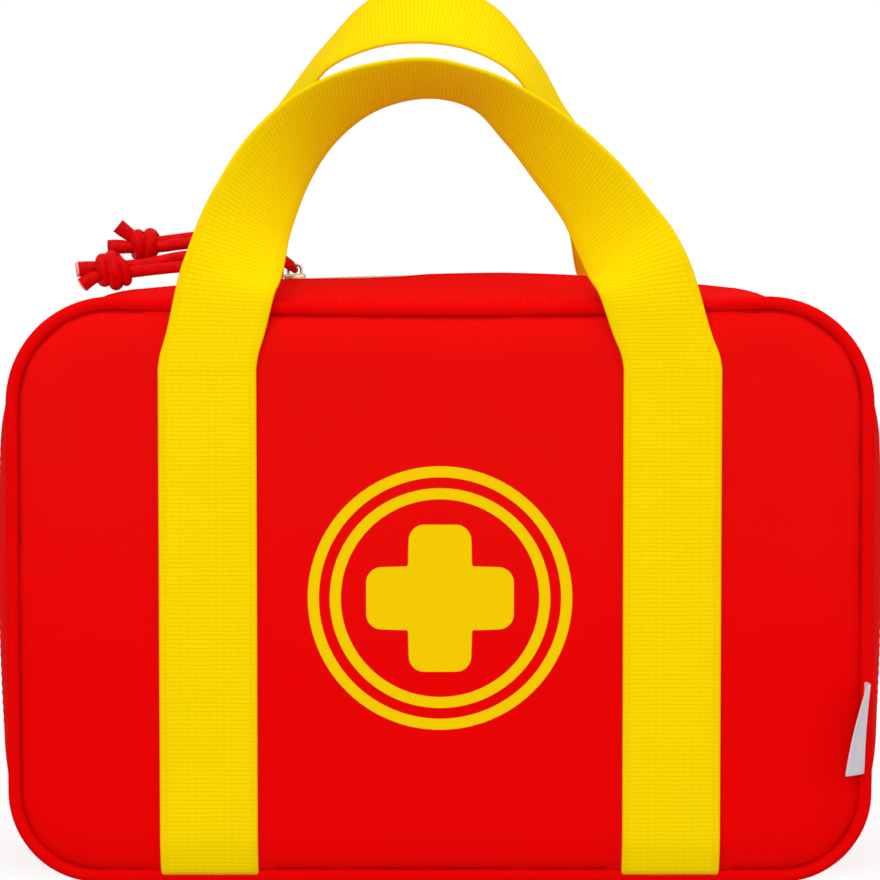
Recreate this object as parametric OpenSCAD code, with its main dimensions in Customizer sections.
// Soft carrying case of a toy doctor's set: two shells joined by a zip, with two webbing handles.
// Millimetres. +Z is up, the front faces -Y, and the origin is the middle of the resting face.
// Every shell part is drawn for the back half, at +Y, and the front half is its mirror image.

/* [Case] */
// Width over the piping
case_w = 266.4; // [240:0.1:290]
// Height over the piping, at the top corners
case_h = 180.6; // [165:0.1:200]
// Distance between the middles of the front and the back piping
piping_gap = 78; // [64:1:96]
// Radius of the top corners of a panel, at its seam
panel_r_top = 28.8; // [24:0.1:36]
// Radius of the bottom corners of a panel, at its seam
panel_r_bottom = 24; // [20:0.1:32]
// How far the top seam sags in the middle
top_sag = 2.1; // [1:0.1:5]
// Diameter of the piping
piping_d = 4.1; // [3:0.1:5]

/* [Panels] */
// How far a panel's face stands out past the middle of the piping
face_stand = 4; // [3.4:0.1:6]
// Width of the rolled edge of a panel
roll_w = 12; // [8:0.5:16]
// How far the rolled edge drops towards the seam
roll_drop = 2.7; // [1:0.1:2.8]
// Thickness of a panel, canvas and foam together
panel_t = 3.2; // [3:0.1:4]
// Thickness of the stiffening board
board_t = 0.8; // [0.5:0.1:1.2]
// Thickness of the lining fabric
lining_t = 0.5; // [0.3:0.1:0.8]
// Width of the binding tape that covers the seam inside
binding_w = 6; // [4:0.5:8]
// Thickness of the bound seam
binding_t = 2.4; // [1.6:0.1:3]

/* [Gusset] */
// How far the gusset swells past the piping at the sides
side_swell = 8; // [5:0.5:15]
// How far the gusset's crest stands above the top piping
crest_rise = 8.7; // [6:0.1:14]
// Radius of the crest line, which the sliders follow
crest_r = 900; // [700:10:1500]
// Radius of the sides at half depth
side_r = 850; // [600:10:1500]
// Radius of the gusset's top corners at half depth
mid_r_top = 52; // [42:1:60]
// Radius of the gusset's bottom corners at half depth
mid_r_bottom = 47; // [36:1:56]
// Thickness of the gusset's canvas
canvas_t = 0.9; // [0.6:0.1:1.4]

/* [Zip] */
// Reach of the tape from the middle of the chain
tape_reach = 12; // [10:0.5:16]
// Thickness of the tape
tape_t = 0.6; // [0.4:0.1:1]
// Half of the gap between the two canvas edges
chain_gap = 6; // [5.4:0.1:8]
// Distance from tooth to tooth in one row
tooth_pitch = 2.6; // [2.2:0.1:4]
// Width of a tooth at its foot
tooth_w = 1.7; // [1.2:0.1:1.8]
// Height of a tooth above the tape
tooth_h = 2.1; // [1.6:0.1:2.6]
// How far a tooth reaches past the middle of the chain
tooth_cross = 1.2; // [0.6:0.1:1.4]
// Distance from the middle of the chain to the foot of a tooth
tooth_foot = 2.9; // [2.5:0.1:3.4]

/* [Sliders] */
// Length of a slider
slider_l = 11; // [9:0.5:14]
// Width of a slider at its nose
slider_w = 9.2; // [8.4:0.1:10]
// Thickness of a slider's plate and crown
slider_t = 0.7; // [0.6:0.1:1]
// Length of the eye under the crown
eye_l = 3.4; // [3:0.1:5]
// Height of the eye under the crown
eye_h = 3; // [2.6:0.1:3.4]
// Width of the crown
crown_w = 2.2; // [1.6:0.1:3]
// Place of the right slider along the crest
right_slider_x = -46.5; // [-47:0.1:-46]
// Space between the parked sliders
slider_space = 0.5; // [0.3:0.1:1]

/* [Handles] */
// Width of the webbing
strap_w = 30; // [22:1:36]
// Thickness of the webbing
strap_t = 1.5; // [1:0.1:2]
// Distance between the middles of a handle's two legs
strap_spacing = 141.6; // [130:0.2:156]
// How far below the top of the piping the sewn legs end
sewn_drop = 22.6; // [18.6:0.1:30.6]
// Height of the front handle above the sewn legs
front_rise = 91; // [80:1:110]
// How far the front handle leans in
front_lean = 29.4; // [24:0.1:30]
// Turn of the front handle's webbing at its top, in degrees
front_roll = 72; // [50:1:78]
// Height of the back handle above the sewn legs
back_rise = 115; // [108:1:130]
// How far the back handle leans in
back_lean = 32.7; // [24:0.1:33]
// Turn of the back handle's webbing at its top, in degrees
back_roll = 42; // [30:1:48]

/* [Emblem] */
// Height of the emblem's middle
emblem_z = 88.4; // [80:0.1:100]
// Outer radius of the outer ring
ring_outer_r = 40.4; // [36:0.1:44]
// Outer radius of the inner ring
ring_inner_r = 33.7; // [28:0.1:34]
// Width of each ring
ring_w = 3.4; // [2:0.1:4]
// Length of the cross from tip to tip
cross_l = 45.1; // [36:0.1:50]
// Width of the arms of the cross
cross_w = 19.1; // [14:0.1:24]
// Radius of the tips' corners
cross_r = 4.7; // [2:0.1:6]
// Thickness of the print
print_t = 0.25; // [0.15:0.05:0.4]

/* [Label and band] */
// Height of the lower end of the side label
label_z = 34; // [28:1:60]
// Length of the side label along the seam
label_l = 28.5; // [20:0.5:36]
// How far the side label stands out
label_out = 12; // [8:0.5:16]
// How far the label's lower corner swings to the middle
label_swing = 7; // [3:0.5:9]
// Thickness of the label
label_t = 0.6; // [0.4:0.1:1]
// Length of the elastic tool band
band_l = 210; // [160:5:220]
// Width of the elastic tool band
band_w = 28; // [20:1:40]
// Thickness of the elastic tool band
band_t = 1.4; // [1:0.1:2]
// Height of the middle of the tool band
band_z = 100; // [60:1:120]
// Number of loops between the seams of the tool band
band_loops = 6; // [4:1:8]
// How far each loop stands out
band_bulge = 3.2; // [0:0.2:5]

/* [Pull cords] */
// Diameter of the cord
cord_d = 3.4; // [2.8:0.1:3.6]
// Diameter of the cord where it is squeezed through the eye
cord_squeezed_d = 2; // [1.6:0.1:2.1]
// Outer radius of the lower knot
left_knot_r = 6.2; // [5:0.1:6.4]
// Outer radius of the upper knot
right_knot_r = 5.5; // [4.6:0.1:5.6]

/* [Hidden] */

layer_gap = 0.1;        // between the layers of one shell
lining_gap = 0.6;       // between the gusset's canvas and its lining, more for their facets
half_clear = 0.3;       // from the middle plane to the edge of each shell
running_gap = 0.3;      // between a slider and what it runs on
loop_gap = 0.3;         // between a handle's loop and the panel and legs that it turns beside
round_fn = 96;          // faces of a drawn circle
loop_steps = 8;         // steps along a loop of the tool band
tube_sides = 8;         // sides of a swept tube

half_gap = piping_gap / 2;
piping_r = piping_d / 2;
face_y = half_gap + face_stand;
board_y = face_y - panel_t - layer_gap;
lining_y = board_y - board_t - layer_gap;
canvas_end = half_gap - piping_r - 0.15;       // where the gusset meets the piping
seam_hw = case_w / 2 - piping_d;               // half width of a panel at its seam
seam_bottom = piping_d;
seam_top = case_h - piping_d - top_sag;        // at the middle of the top
sewn_top = case_h - sewn_drop;                 // height up to which the legs are sewn down
sag_half = seam_hw - panel_r_top;
sag_r = sag_half * sag_half / 2 / top_sag;
straight_r = 9000;                             // as good as a straight side
mid_hw = case_w / 2 + side_swell;
mid_top = case_h - top_sag + crest_rise;
crest_centre = [0, 0, mid_top - crest_r];

// Steps along half an outline: bottom, corner, side, corner, top
n_bottom = 2;
n_corner = 8;
n_side = 3;
n_top = 5;
n_half = n_bottom + 2 * n_corner + n_side + n_top;
n_loop = 2 * n_half;
zip_end = n_bottom + n_corner / 2;             // station where the zip ends, in the bottom corner

// ---- Outlines: each station is [x, z, outward x, outward z] ----

function mix(a, b, k) = a + (b - a) * k;
function unit(v) = v / norm(v);
function heading(v) = atan2(v[1], v[0]);

function arc(c, r, a0, a1, n, s = 1) = [
    for (k = [0:n - 1]) let (a = mix(a0, a1, k / n))
        [c[0] + r * cos(a), c[1] + r * sin(a), s * cos(a), s * sin(a)]
];

// Right half of an outline whose sides, corners and top are arcs that run into each other.
// A negative top radius gives a top that sags.
function half_outline(hw, zb, zt, top_r, side, r_top, r_bottom) = let (
    s = sign(top_r),
    side_c = [hw - side, (zb + zt) / 2],
    top_c = [0, zt - top_r],
    span = norm(top_c - side_c),
    u = (top_c - side_c) / span,
    reach = side - r_top,
    along = (reach * reach - pow(top_r - r_top, 2) + span * span) / 2 / span,
    off = sqrt(reach * reach - along * along),
    corner = side_c + along * u + s * off * [-u[1], u[0]],
    foot_dx = sqrt(pow(side - r_bottom, 2) - pow(zb + r_bottom - side_c[1], 2)),
    foot = [side_c[0] + foot_dx, zb + r_bottom],
    low = heading(foot - side_c),
    high = heading(corner - side_c),
    turn = heading(corner - top_c),
    brow = s > 0 ? turn : heading(top_c - corner)
) concat(
    [for (k = [0:n_bottom - 1]) [foot[0] * k / n_bottom, zb, 0, -1]],
    arc(foot, r_bottom, -90, low, n_corner),
    arc(side_c, side, low, high, n_side),
    arc(corner, r_top, high, brow, n_corner),
    arc(top_c, abs(top_r), turn, 90 * s, n_top, s),
    [[0, zt, 0, 1]]
);

function whole(half) = concat(
    half,
    [for (k = [n_half - 1:-1:1]) let (p = half[k]) [-p[0], p[1], -p[2], p[3]]]
);

edge = whole(half_outline(
    seam_hw, seam_bottom, seam_top, -sag_r, straight_r, panel_r_top, panel_r_bottom
));
mid = whole(half_outline(
    mid_hw, 0, mid_top, crest_r, side_r, mid_r_top, mid_r_bottom
));

// A point of a panel's outline, moved out by d
function rim(i, d) = [edge[i][0] + d * edge[i][2], edge[i][1] + d * edge[i][3]];

// A point of the swelling gusset at depth y, moved out by d
function wall(i, y, d) = let (
    e = edge[i % n_loop],
    m = mid[i % n_loop],
    g = 1 - pow(y / half_gap, 2),
    lift = piping_r * (1 + pow(max(0, -e[3]), 2)),
    n = unit(mix([e[2], e[3]], [m[2], m[3]], g))
) mix([e[0], e[1]] + lift * [e[2], e[3]], [m[0], m[1]], g) + d * n;

function wall3(i, y, d) = let (p = wall(i, y, d)) [p[0], y, p[1]];

// The same between two stations
function wall_at(t, y, d) = let (i = floor(t))
    mix(wall3(i, y, d), wall3(i + 1, y, d), t - i);

// How far a panel's face lies behind its middle, at a distance from the seam
function drop(d) = roll_drop * pow(max(0, 1 - d / roll_w), 2);

// ---- Solids from rings of points ----

// Joins rings into one solid. A closed one ends where it began, and an open one gets end faces.
module skin(rings, closed = false) {
    n = len(rings);
    m = len(rings[0]);
    walls = [
        for (i = [0:n - (closed ? 1 : 2)], j = [0:m - 1])
            let (a = i * m + j, b = i * m + (j + 1) % m, up = ((i + 1) % n - i) * m)
                each [[a, a + up, b + up], [a, b + up, b]]
    ];
    strip = [for (j = [0:m / 2 - 2]) each [[j, j + 1, m - 2 - j], [j, m - 2 - j, m - 1 - j]]];
    ends = closed ? [] : concat(
        strip,
        [for (f = strip) [for (k = [2:-1:0]) f[k] + (n - 1) * m]]
    );
    polyhedron(points = [for (r = rings) each r], faces = concat(walls, ends));
}

// Joins level rings into one solid with a flat face at either end
module loft(rings) {
    n = len(rings);
    m = len(rings[0]);
    walls = [
        for (i = [0:n - 2], j = [0:m - 1])
            let (a = i * m + j, b = i * m + (j + 1) % m)
                each [[a, b, b + m], [a, b + m, a + m]]
    ];
    low = n * m;
    ends = [
        for (j = [0:m - 1]) let (k = (j + 1) % m, up = (n - 1) * m)
            each [[k, j, low], [j + up, k + up, low + 1]]
    ];
    polyhedron(
        points = concat([for (r = rings) each r], [middle(rings[0]), middle(rings[n - 1])]),
        faces = concat(walls, ends)
    );
}

function middle(ring) = [for (r = ring) 1] * ring / len(ring);

// A fabric band that follows the gusset from station i0 to i1
module gusset_band(i0, i1, depths, d_in, d_out, closed = false) {
    skin([
        for (i = [i0:i1]) concat(
            [for (y = depths(i)) wall3(i, y, d_out)],
            [for (k = [len(depths(i)) - 1:-1:0]) wall3(i, depths(i)[k], d_in)]
        )
    ], closed);
}

function spline(p, i, t) = let (
    last = len(p) - 1,
    a = p[max(i - 1, 0)],
    b = p[i],
    c = p[i + 1],
    d = p[min(i + 2, last)]
) 0.5 * (2 * b + (c - a) * t + (2 * a - 5 * b + 4 * c - d) * t * t
    + (3 * b - a - 3 * c + d) * t * t * t);

function smooth(p, steps) = concat(
    [for (i = [0:len(p) - 2], k = [0:steps - 1]) spline(p, i, k / steps)],
    [p[len(p) - 1]]
);

function way(p, i) = unit(p[min(i + 1, len(p) - 1)] - p[max(i - 1, 0)]);

module mirrored() mirror([0, 1, 0]) children();

// ---- Panels, one per shell ----

module panel() {
    steps = [0, 4, roll_w];
    loft(concat(
        [[for (i = [0:n_loop - 1]) let (p = rim(i, 0)) [p[0], face_y - panel_t, p[1]]]],
        [for (s = steps) [
            for (i = [0:n_loop - 1]) let (p = rim(i, -s)) [p[0], face_y - drop(s), p[1]]
        ]]
    ));
}

// A flat sheet inside the bound seam, from depth y inwards
module sheet(y, t, inset) {
    translate([0, y, 0]) rotate([90, 0, 0])
        linear_extrude(t) polygon([for (i = [0:n_loop - 1]) rim(i, -inset)]);
}

module board() sheet(board_y, board_t, binding_w + 1);
module panel_lining() sheet(lining_y, lining_t, binding_w + 1);

module piping() {
    turn = 360 / tube_sides;
    skin([
        for (i = [0:n_loop - 1]) [
            for (k = [0:tube_sides - 1]) let (
                a = (k + 0.5) * turn,
                r = piping_r / cos(turn / 2),
                p = rim(i, piping_r + r * cos(a))
            ) [p[0], half_gap + r * sin(a), p[1]]
        ]
    ], closed = true);
}

module binding() {
    y0 = board_y - binding_t;
    skin([
        for (i = [0:n_loop - 1]) let (outer = rim(i, -0.4), inner = rim(i, -binding_w)) [
            [outer[0], board_y, outer[1]],
            [inner[0], board_y, inner[1]],
            [inner[0], y0, inner[1]],
            [outer[0], y0, outer[1]]
        ]
    ], closed = true);
}

// ---- Gusset, one per shell ----

// Depths at which the canvas is drawn: it reaches the middle only past the ends of the zip
function canvas_depths(i) = let (open = i > zip_end && i < n_loop - zip_end)
    concat([open ? chain_gap : half_clear, mix(chain_gap, lining_start, 0.5)], lining_depths(i));

lining_start = tape_reach + 1;
function lining_depths(i) = [lining_start, (lining_start + canvas_end) / 2, canvas_end];
function tape_depths(i) = [tooth_foot - 1, tape_reach];
function tab_depths(i) = [half_clear, chain_gap + 3];

module gusset()
    gusset_band(n_bottom, n_loop - n_bottom, function (i) canvas_depths(i), -canvas_t, 0);

module gusset_lining()
    gusset_band(
        0, n_loop - 1, function (i) lining_depths(i),
        -canvas_t - lining_gap - lining_t, -canvas_t - lining_gap, closed = true
    );

// Flat bottom between the corners, which folds along its middle as the case opens
module base() {
    depths = canvas_depths(n_bottom);
    right = [for (y = depths) [wall(n_bottom, y, 0)[0], y]];
    linear_extrude(canvas_t) polygon(concat(
        right, [for (k = [len(right) - 1:-1:0]) [-right[k][0], right[k][1]]]
    ));
}

// ---- Zip ----

tape_top = -canvas_t - layer_gap;
chain_top = tape_top + tooth_h;

module zip_tape()
    gusset_band(zip_end, n_loop - zip_end, function (i) tape_depths(i), tape_top - tape_t, tape_top);

// Length along the chain up to each station
function run_up(i) = i <= zip_end ? 0 :
    run_up(i - 1) + norm(wall(i, 0, tape_top) - wall(i - 1, 0, tape_top));
chain_steps = [for (i = [zip_end:n_loop - zip_end]) run_up(i)];
chain_len = chain_steps[len(chain_steps) - 1];
tab_len = chain_steps[1] + 2;

// Station, with its fraction, at a length along the chain
function station(s) = let (
    k = max([for (j = [0:len(chain_steps) - 2]) chain_steps[j] <= s ? j : 0])
) zip_end + k + (s - chain_steps[k]) / (chain_steps[k + 1] - chain_steps[k]);

// One row of teeth: wedges that stand on the tape and point over the middle
module teeth(shift) {
    count = floor((chain_len - 2 * tab_len) / tooth_pitch);
    corners = [
        for (k = [0:count - 1]) let (
            s = tab_len + (k + shift) * tooth_pitch,
            a = station(s - tooth_w / 2),
            b = station(s + tooth_w / 2),
            c = station(s)
        ) each [
            for (d = [tape_top + layer_gap, chain_top])
                each [wall_at(a, tooth_foot, d), wall_at(b, tooth_foot, d), tip(c, d)]
        ]
    ];
    polyhedron(points = corners, faces = [
        for (k = [0:count - 1]) let (o = 6 * k)
            for (f = [[0, 1, 2], [3, 5, 4], [0, 4, 1], [0, 3, 4], [1, 5, 2], [1, 4, 5],
                      [2, 3, 0], [2, 5, 3]])
                [for (v = f) v + o]
    ]);
}

function tip(t, d) = let (p = wall_at(t, 0, d)) [p[0], -tooth_cross, p[2]];

// Canvas patches over the two ends of the zip
module zip_ends() {
    for (i0 = [zip_end - 1, n_loop - zip_end - 1])
        gusset_band(i0, i0 + 2, function (i) tab_depths(i), layer_gap, layer_gap + 0.7);
}

// ---- Webbing ----

// Legs sewn down on a panel, from the bottom seam up
module strap_legs() {
    levels = [0.4, roll_w / 4, roll_w / 2, roll_w * 3 / 4, roll_w];
    back = [for (d = levels) [face_y + layer_gap - drop(d), seam_bottom + d]];
    top = [[face_y + layer_gap, sewn_top]];
    face = concat(back, top);
    for (s = [-1, 1])
        translate([s * strap_spacing / 2 - strap_w / 2, 0, 0]) rotate([90, 0, 90])
            linear_extrude(strap_w) polygon(concat(
                face, [for (k = [len(face) - 1:-1:0]) face[k] + [strap_t, 0]]
            ));
}

// Middle line of a handle, as shares of half the spacing, the rise, the lean and the roll
front_shape = [
    [-1, 0, 0, 0], [-0.996, 0.05, 0, 0], [-0.965, 0.13, 0, 0],
    [-0.918, 0.27, 0, 0.01], [-0.883, 0.353, 0.089, 0.173], [-0.817, 0.522, 0.323, 0.431],
    [-0.709, 0.697, 0.57, 0.588], [-0.538, 0.853, 0.825, 0.77], [-0.308, 0.961, 0.975, 0.938],
    [-0.059, 1, 1, 1], [0.168, 0.961, 0.974, 1.002], [0.349, 0.855, 0.875, 0.844],
    [0.51, 0.73, 0.712, 0.676], [0.661, 0.593, 0.511, 0.541], [0.776, 0.449, 0.297, 0.37],
    [0.843, 0.355, 0.085, 0.166], [0.891, 0.27, 0, 0.01], [0.953, 0.13, 0, 0],
    [0.996, 0.05, 0, 0], [1, 0, 0, 0]
];
back_shape = [
    [-1, 0, 0, 0], [-0.995, 0.11, 0, 0], [-0.975, 0.211, 0, 0.011],
    [-0.947, 0.297, 0.06, 0.307], [-0.893, 0.429, 0.2, 0.833], [-0.8, 0.601, 0.34, 1.339],
    [-0.677, 0.759, 0.53, 1.736], [-0.525, 0.886, 0.74, 1.744], [-0.326, 0.968, 0.92, 1.302],
    [-0.072, 1, 1, 1], [0.186, 0.961, 0.972, 1.214], [0.391, 0.856, 0.867, 1.617],
    [0.541, 0.702, 0.66, 1.634], [0.662, 0.556, 0.449, 1.23], [0.767, 0.421, 0.253, 0.763],
    [0.851, 0.302, 0.075, 0.274], [0.918, 0.211, 0, 0.011], [0.972, 0.11, 0, 0],
    [1, 0, 0, 0]
];

loop_y = face_y + loop_gap + strap_t / 2;

// A loop of webbing at the back, whose outer edge turns away from the case by its roll
module handle(shape, rise, lean, roll) {
    steps = 4;
    rows = smooth([
        for (r = shape) [
            r[0] * strap_spacing / 2, loop_y - r[2] * lean,
            sewn_top + loop_gap + r[1] * rise, r[3] * roll
        ]
    ], steps);
    mids = [for (r = rows) [r[0], r[1], r[2]]];
    last = len(rows) - 1;
    skin([
        for (i = [0:last]) let (
            t = i == 0 ? [0, 0, 1] : i == last ? [0, 0, -1] : way(mids, i),
            out = unit(cross(t, [0, 1, 0])),
            side = cross(out, t),
            w = (out * cos(rows[i][3]) + side * sin(rows[i][3])) * strap_w / 2,
            n = unit(cross(t, w)) * strap_t / 2
        ) [mids[i] - w + n, mids[i] - w - n, mids[i] + w - n, mids[i] + w + n]
    ]);
}

// ---- Emblem, label and band ----

module on_front_face(t) {
    translate([0, layer_gap / 2 - face_y - layer_gap, 0]) rotate([90, 0, 0])
        linear_extrude(t) children();
}

module ring(r) {
    difference() {
        circle(r, $fn = round_fn);
        circle(r - ring_w, $fn = round_fn);
    }
}

// An upright bar with rounded corners
module cross_bar() {
    x = cross_w / 2 - cross_r;
    z = cross_l / 2 - cross_r;
    square([cross_w, 2 * z], center = true);
    square([2 * x, cross_l], center = true);
    for (sx = [-1, 1], sz = [-1, 1])
        translate([sx * x, sz * z]) circle(cross_r, $fn = round_fn);
}

module label_shape() {
    top = label_z + label_l;
    x = seam_hw + 0.4;
    y0 = -half_gap - piping_r - 0.2;
    y1 = y0 - label_out;
    fold = [
        [x, y0, label_z], [x - label_swing, y1, label_z - 1],
        [x - 1.5, y1, top - 1], [x, y0, top]
    ];
    points = concat(fold, [for (p = fold) p + [label_t, 0, 0]]);
    polyhedron(points = points, faces = [
        [0, 2, 1], [0, 3, 2], [4, 5, 6], [4, 6, 7], [0, 5, 4], [0, 1, 5],
        [1, 6, 5], [1, 2, 6], [2, 7, 6], [2, 3, 7], [3, 4, 7], [3, 0, 4]
    ]);
}

// ---- Sliders ----

plate_z = chain_top + running_gap;             // underside of a slider's plate above the canvas
left_slider_x = right_slider_x - slider_l - slider_space;

// A slider at the crest: a plate over the chain, a lip beside the back row and a crown with its eye
module slider(nose) {
    inner_w = 2 * tooth_foot + 2 * running_gap;
    waist = slider_w * 0.8;
    translate([0, 0, mid_top]) {
        translate([0, 0, plate_z]) linear_extrude(slider_t) polygon([
            [-nose * slider_l / 2, -inner_w / 2], [nose * slider_l / 2, -inner_w / 2],
            [nose * slider_l / 2, slider_w / 2], [0, slider_w / 2],
            [-nose * slider_l / 2, waist / 2]
        ]);
        translate([-slider_l * 0.3, inner_w / 2 + 0.1, tape_top + running_gap])
            cube([slider_l * 0.6, slider_w / 2 - inner_w / 2 - 0.1,
                  plate_z - tape_top - running_gap + slider_t]);
        translate([0, crown_w / 2, plate_z + slider_t]) rotate([90, 0, 0])
            linear_extrude(crown_w) crown();
    }
}

// Arch of the crown, seen from the side
module crown() {
    difference() {
        arch(eye_l / 2 + slider_t * 1.4, eye_h + slider_t);
        arch(eye_l / 2, eye_h);
    }
}

module arch(half_l, h) {
    r = h * 0.55;
    translate([-half_l, 0]) square([2 * half_l, h - r]);
    translate([r - half_l, 0]) square([2 * half_l - 2 * r, h]);
    for (s = [-1, 1])
        translate([s * (half_l - r), h - r]) circle(r, $fn = 48);
}

// Carries its children along the crest to a place
module at_crest(x) {
    translate(crest_centre) rotate([0, asin(x / crest_r), 0]) translate(-crest_centre) children();
}

// ---- Pull cords: a doubled cord through each eye, tied in one knot, with two short ends ----

left_front_route = [
    [-58.2, 0, 188.9], [-58.2, -1.1, 188.9], [-58.3, -2.3, 189.1], [-59.3, -3.9, 189.8],
    [-61.4, -4.8, 190.4], [-64, -5, 190.8], [-69, -5, 191], [-75, -5.2, 190.9],
    [-80, -5.4, 190.7], [-85, -5.6, 190.3], [-90, -5.8, 189.8], [-95, -6.2, 189.2],
    [-100, -6.8, 188.6], [-105, -7.2, 188.2], [-109, -7.4, 187.4], [-112, -7.4, 186],
    [-114, -7.2, 184.6]
];
left_back_route = [
    [-58.2, 0, 188.9], [-58.2, 1.1, 188.9], [-58.3, 2.3, 189.1], [-59.3, 3.9, 189.8],
    [-61.4, 4.7, 190.6], [-64, 4.4, 191.6], [-69, 1.8, 193.2], [-75, -0.4, 194],
    [-80, -1.6, 194], [-85, -2.6, 193.3], [-90, -3.4, 192.2], [-95, -3.8, 191.2],
    [-100, -4, 190.8], [-105, -4.2, 190.6], [-109, -4.6, 190.4], [-112.5, -5.2, 190],
    [-116, -6, 189.6]
];
right_front_route = [
    [-46.7, 0, 189.6], [-46.7, -1.1, 189.6], [-46.8, -2.3, 189.8], [-47.9, -3.8, 190.9],
    [-50.2, -3.9, 192.6], [-54, -2.8, 194.8], [-60, -1.2, 196.6], [-65, 0.1, 197.6],
    [-70, 1.2, 198.2], [-75, 2.2, 198.5], [-80, 2.9, 198.4], [-85, 3.4, 197.9],
    [-90, 3.6, 197.2], [-95, 3.7, 196.8], [-99, 3.8, 197], [-103, 4, 197.2],
    [-107, 4.1, 197]
];
right_back_route = [
    [-46.7, 0, 189.6], [-46.7, 1.1, 189.6], [-46.8, 2.3, 189.8], [-47.9, 3.8, 190.9],
    [-50.2, 4.4, 192.7], [-54, 4.6, 195.2], [-60, 5, 197.8], [-65, 5.5, 199.2],
    [-70, 5.9, 200], [-75, 6.2, 200.4], [-80, 6.3, 200.2], [-85, 6.4, 199.6],
    [-90, 6.2, 199], [-95, 5.8, 198.9], [-98.5, 5.4, 200], [-101.5, 5, 202],
    [-104, 4.6, 204]
];
left_knot_at = [-104.4, -5.6, 189.4];
right_knot_at = [-95.1, 5.2, 197.7];
squeezed_points = 3;                           // points of a route that lie in the eye

// A tube along a route, thinner where the eye squeezes it
module cord(route) {
    turn = 360 / tube_sides;
    skin([
        for (i = [0:len(route) - 1]) let (
            t = i == 0 ? unit(route[1] - route[0]) : way(route, i),
            a = unit(cross(t, [0, 0.2, 1])),
            b = cross(t, a),
            r = (i < squeezed_points ? cord_squeezed_d : cord_d) / 2
        ) [for (k = [0:tube_sides - 1]) route[i] + r * (a * cos(k * turn) + b * sin(k * turn))]
    ]);
}

// A knot as two wraps of the cord round both strands, one leaning on the other
module knot(at, r) {
    wrap_r = r - cord_d / 2;
    for (s = [-1, 1])
        translate(at + [s * cord_d * 0.55, 0, 0]) rotate([0, 90 + s * 12, 0])
            rotate_extrude($fn = 48) translate([wrap_r, 0]) circle(d = cord_d, $fn = 32);
}

// ---- Nodes ----

red = [0.9, 0.03, 0.02];
dark_red = [0.62, 0.02, 0.02];
yellow = [0.96, 0.82, 0.03];
grey = [0.75, 0.73, 0.72];

module back_panel() color(red) panel();
module back_board() color("gainsboro") board();
module back_lining() color(dark_red) panel_lining();
module back_piping() color(red) piping();
module back_binding() color(dark_red) binding();
module back_gusset() color(red) gusset();
module back_gusset_lining() color(dark_red) gusset_lining();
module back_base() color(red) base();
module back_zip_tape() color(red) zip_tape();
module back_zip_teeth() color("linen") teeth(0.5);
module back_zip_ends() color(red) zip_ends();
module back_strap_legs() color(yellow) strap_legs();
module tool_band() color("black") {
    n = band_loops * loop_steps;
    line = [for (i = [0:n]) [band_l * (i / n - 0.5), -band_bulge * abs(sin(180 * i / loop_steps))]];
    translate([0, lining_y - lining_t - layer_gap, band_z - band_w / 2])
        linear_extrude(band_w)
            polygon(concat(line, [for (i = [n:-1:0]) line[i] - [0, band_t]]));
}

module front_panel() color(red) mirrored() panel();
module front_board() color("gainsboro") mirrored() board();
module front_lining() color(dark_red) mirrored() panel_lining();
module front_piping() color(red) mirrored() piping();
module front_binding() color(dark_red) mirrored() binding();
module front_gusset() color(red) mirrored() gusset();
module front_gusset_lining() color(dark_red) mirrored() gusset_lining();
module front_base() color(red) mirrored() base();
module front_zip_tape() color(red) mirrored() zip_tape();
module front_zip_teeth() color("linen") mirrored() teeth(0);
module front_zip_ends() color(red) mirrored() zip_ends();
module front_strap_legs() color(yellow) mirrored() strap_legs();
module emblem_print() color(yellow) on_front_face(print_t) translate([0, emblem_z]) {
    ring(ring_outer_r);
    ring(ring_inner_r);
    cross_bar();
    rotate(90) cross_bar();
}
module side_label() color(grey) label_shape();

module front_handle() color(yellow)
    mirrored() handle(front_shape, front_rise, front_lean, front_roll);
module back_handle() color(yellow) handle(back_shape, back_rise, back_lean, back_roll);

module left_slider() color("silver") at_crest(left_slider_x) slider(1);
module left_pull_leg_front() color(red) cord(left_front_route);
module left_pull_leg_back() color(red) cord(left_back_route);
module left_pull_knot() color(red) knot(left_knot_at, left_knot_r);
module right_slider() color("silver") at_crest(right_slider_x) slider(-1);
module right_pull_leg_front() color(red) cord(right_front_route);
module right_pull_leg_back() color(red) cord(right_back_route);
module right_pull_knot() color(red) knot(right_knot_at, right_knot_r);

back_panel();
back_board();
back_lining();
back_piping();
back_binding();
back_gusset();
back_gusset_lining();
back_base();
back_zip_tape();
back_zip_teeth();
back_zip_ends();
back_strap_legs();
tool_band();
front_panel();
front_board();
front_lining();
front_piping();
front_binding();
front_gusset();
front_gusset_lining();
front_base();
front_zip_tape();
front_zip_teeth();
front_zip_ends();
front_strap_legs();
emblem_print();
side_label();
front_handle();
back_handle();
left_slider();
left_pull_leg_front();
left_pull_leg_back();
left_pull_knot();
right_slider();
right_pull_leg_front();
right_pull_leg_back();
right_pull_knot();
